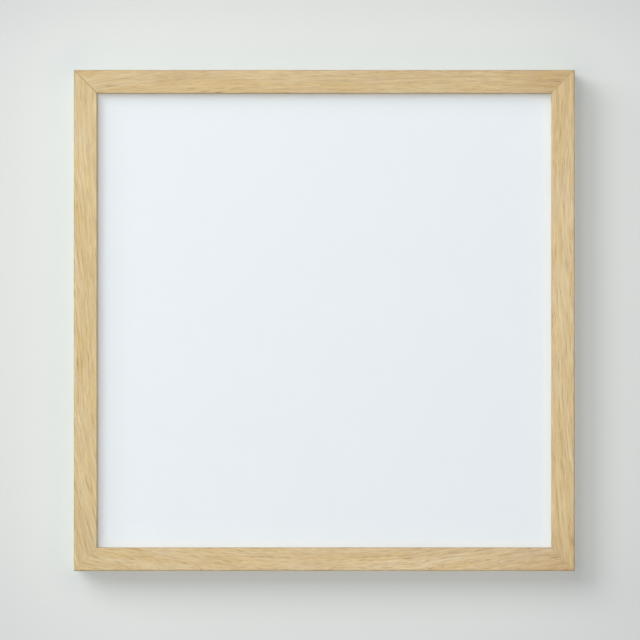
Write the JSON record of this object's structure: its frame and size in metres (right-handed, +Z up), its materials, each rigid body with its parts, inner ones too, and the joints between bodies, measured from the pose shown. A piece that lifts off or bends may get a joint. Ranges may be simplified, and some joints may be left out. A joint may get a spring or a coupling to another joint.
{
  "type": "photo frame",
  "caption": "Square oak photo frame for a wall: mitred rails round a blank white sheet under glass, with a back panel held by swing clips and hung on D rings.",
  "frame": {"origin": "on the wall's plane, which is the flat faces of the four rubber bumpers, straight behind the middle of the square frame", "axes": "+Z up as it hangs, +X to the right seen from the front, +Y from the front face towards the wall"},
  "size_m": [0.43, 0.0283, 0.43],
  "materials": {
    "oak": "satin",
    "clear_glass": "polished",
    "white_paper": "matte",
    "grey_card": "matte",
    "hardboard": "matte",
    "nail_steel": "satin",
    "zinc_steel": "satin",
    "rivet_steel": "satin",
    "nickel_wire": "polished",
    "soft_rubber": "matte"
  },
  "bodies": {
    "root": {"rail_top": "oak", "rail_right": "oak", "rail_bottom": "oak", "rail_left": "oak", "v_nail_top_left_outer": "nail_steel", "v_nail_top_left_inner": "nail_steel", "v_nail_top_right_outer": "nail_steel", "v_nail_top_right_inner": "nail_steel", "v_nail_bottom_right_outer": "nail_steel", "v_nail_bottom_right_inner": "nail_steel", "v_nail_bottom_left_outer": "nail_steel", "v_nail_bottom_left_inner": "nail_steel", "glazing": "clear_glass", "print_sheet": "white_paper", "filler_card": "grey_card", "back_panel": "hardboard", "clip_rivet_top_left": "rivet_steel", "clip_rivet_top_right": "rivet_steel", "clip_rivet_right_upper": "rivet_steel", "clip_rivet_right_lower": "rivet_steel", "clip_rivet_bottom_right": "rivet_steel", "clip_rivet_bottom_left": "rivet_steel", "clip_rivet_left_lower": "rivet_steel", "clip_rivet_left_upper": "rivet_steel", "hanger_strap_left": "zinc_steel", "hanger_strap_right": "zinc_steel", "hanger_rivet_left": "rivet_steel", "hanger_rivet_right": "rivet_steel", "bumper_top_left": "soft_rubber", "bumper_top_right": "soft_rubber", "bumper_bottom_left": "soft_rubber", "bumper_bottom_right": "soft_rubber"},
    "clip_top_left": {"clip_top_left": "zinc_steel"},
    "clip_top_right": {"clip_top_right": "zinc_steel"},
    "clip_right_upper": {"clip_right_upper": "zinc_steel"},
    "clip_right_lower": {"clip_right_lower": "zinc_steel"},
    "clip_bottom_right": {"clip_bottom_right": "zinc_steel"},
    "clip_bottom_left": {"clip_bottom_left": "zinc_steel"},
    "clip_left_lower": {"clip_left_lower": "zinc_steel"},
    "clip_left_upper": {"clip_left_upper": "zinc_steel"},
    "ring_left": {"hanger_ring_left": "nickel_wire"},
    "ring_right": {"hanger_ring_right": "nickel_wire"}
  },
  "joints": [
    {"name": "clip_top_left_swivel", "type": "hinge", "parent": "root", "child": "clip_top_left", "pos_m": [-0.108, -0.015, 0.1815], "axis": [0, 1, 0], "continuous": true},
    {"name": "clip_top_right_swivel", "type": "hinge", "parent": "root", "child": "clip_top_right", "pos_m": [0.108, -0.015, 0.1815], "axis": [0, 1, 0], "continuous": true},
    {"name": "clip_right_upper_swivel", "type": "hinge", "parent": "root", "child": "clip_right_upper", "pos_m": [0.1815, -0.015, 0.108], "axis": [0, 1, 0], "continuous": true},
    {"name": "clip_right_lower_swivel", "type": "hinge", "parent": "root", "child": "clip_right_lower", "pos_m": [0.1815, -0.015, -0.108], "axis": [0, 1, 0], "continuous": true},
    {"name": "clip_bottom_right_swivel", "type": "hinge", "parent": "root", "child": "clip_bottom_right", "pos_m": [0.108, -0.015, -0.1815], "axis": [0, 1, 0], "continuous": true},
    {"name": "clip_bottom_left_swivel", "type": "hinge", "parent": "root", "child": "clip_bottom_left", "pos_m": [-0.108, -0.015, -0.1815], "axis": [0, 1, 0], "continuous": true},
    {"name": "clip_left_lower_swivel", "type": "hinge", "parent": "root", "child": "clip_left_lower", "pos_m": [-0.1815, -0.015, -0.108], "axis": [0, 1, 0], "continuous": true},
    {"name": "clip_left_upper_swivel", "type": "hinge", "parent": "root", "child": "clip_left_upper", "pos_m": [-0.1815, -0.015, 0.108], "axis": [0, 1, 0], "continuous": true},
    {"name": "ring_left_swing", "type": "hinge", "parent": "root", "child": "ring_left", "pos_m": [-0.12, -0.0132, 0.124], "axis": [1, 0, 0], "range_deg": [0, 180]},
    {"name": "ring_right_swing", "type": "hinge", "parent": "root", "child": "ring_right", "pos_m": [0.12, -0.0132, 0.124], "axis": [1, 0, 0], "range_deg": [0, 180]}
  ]
}
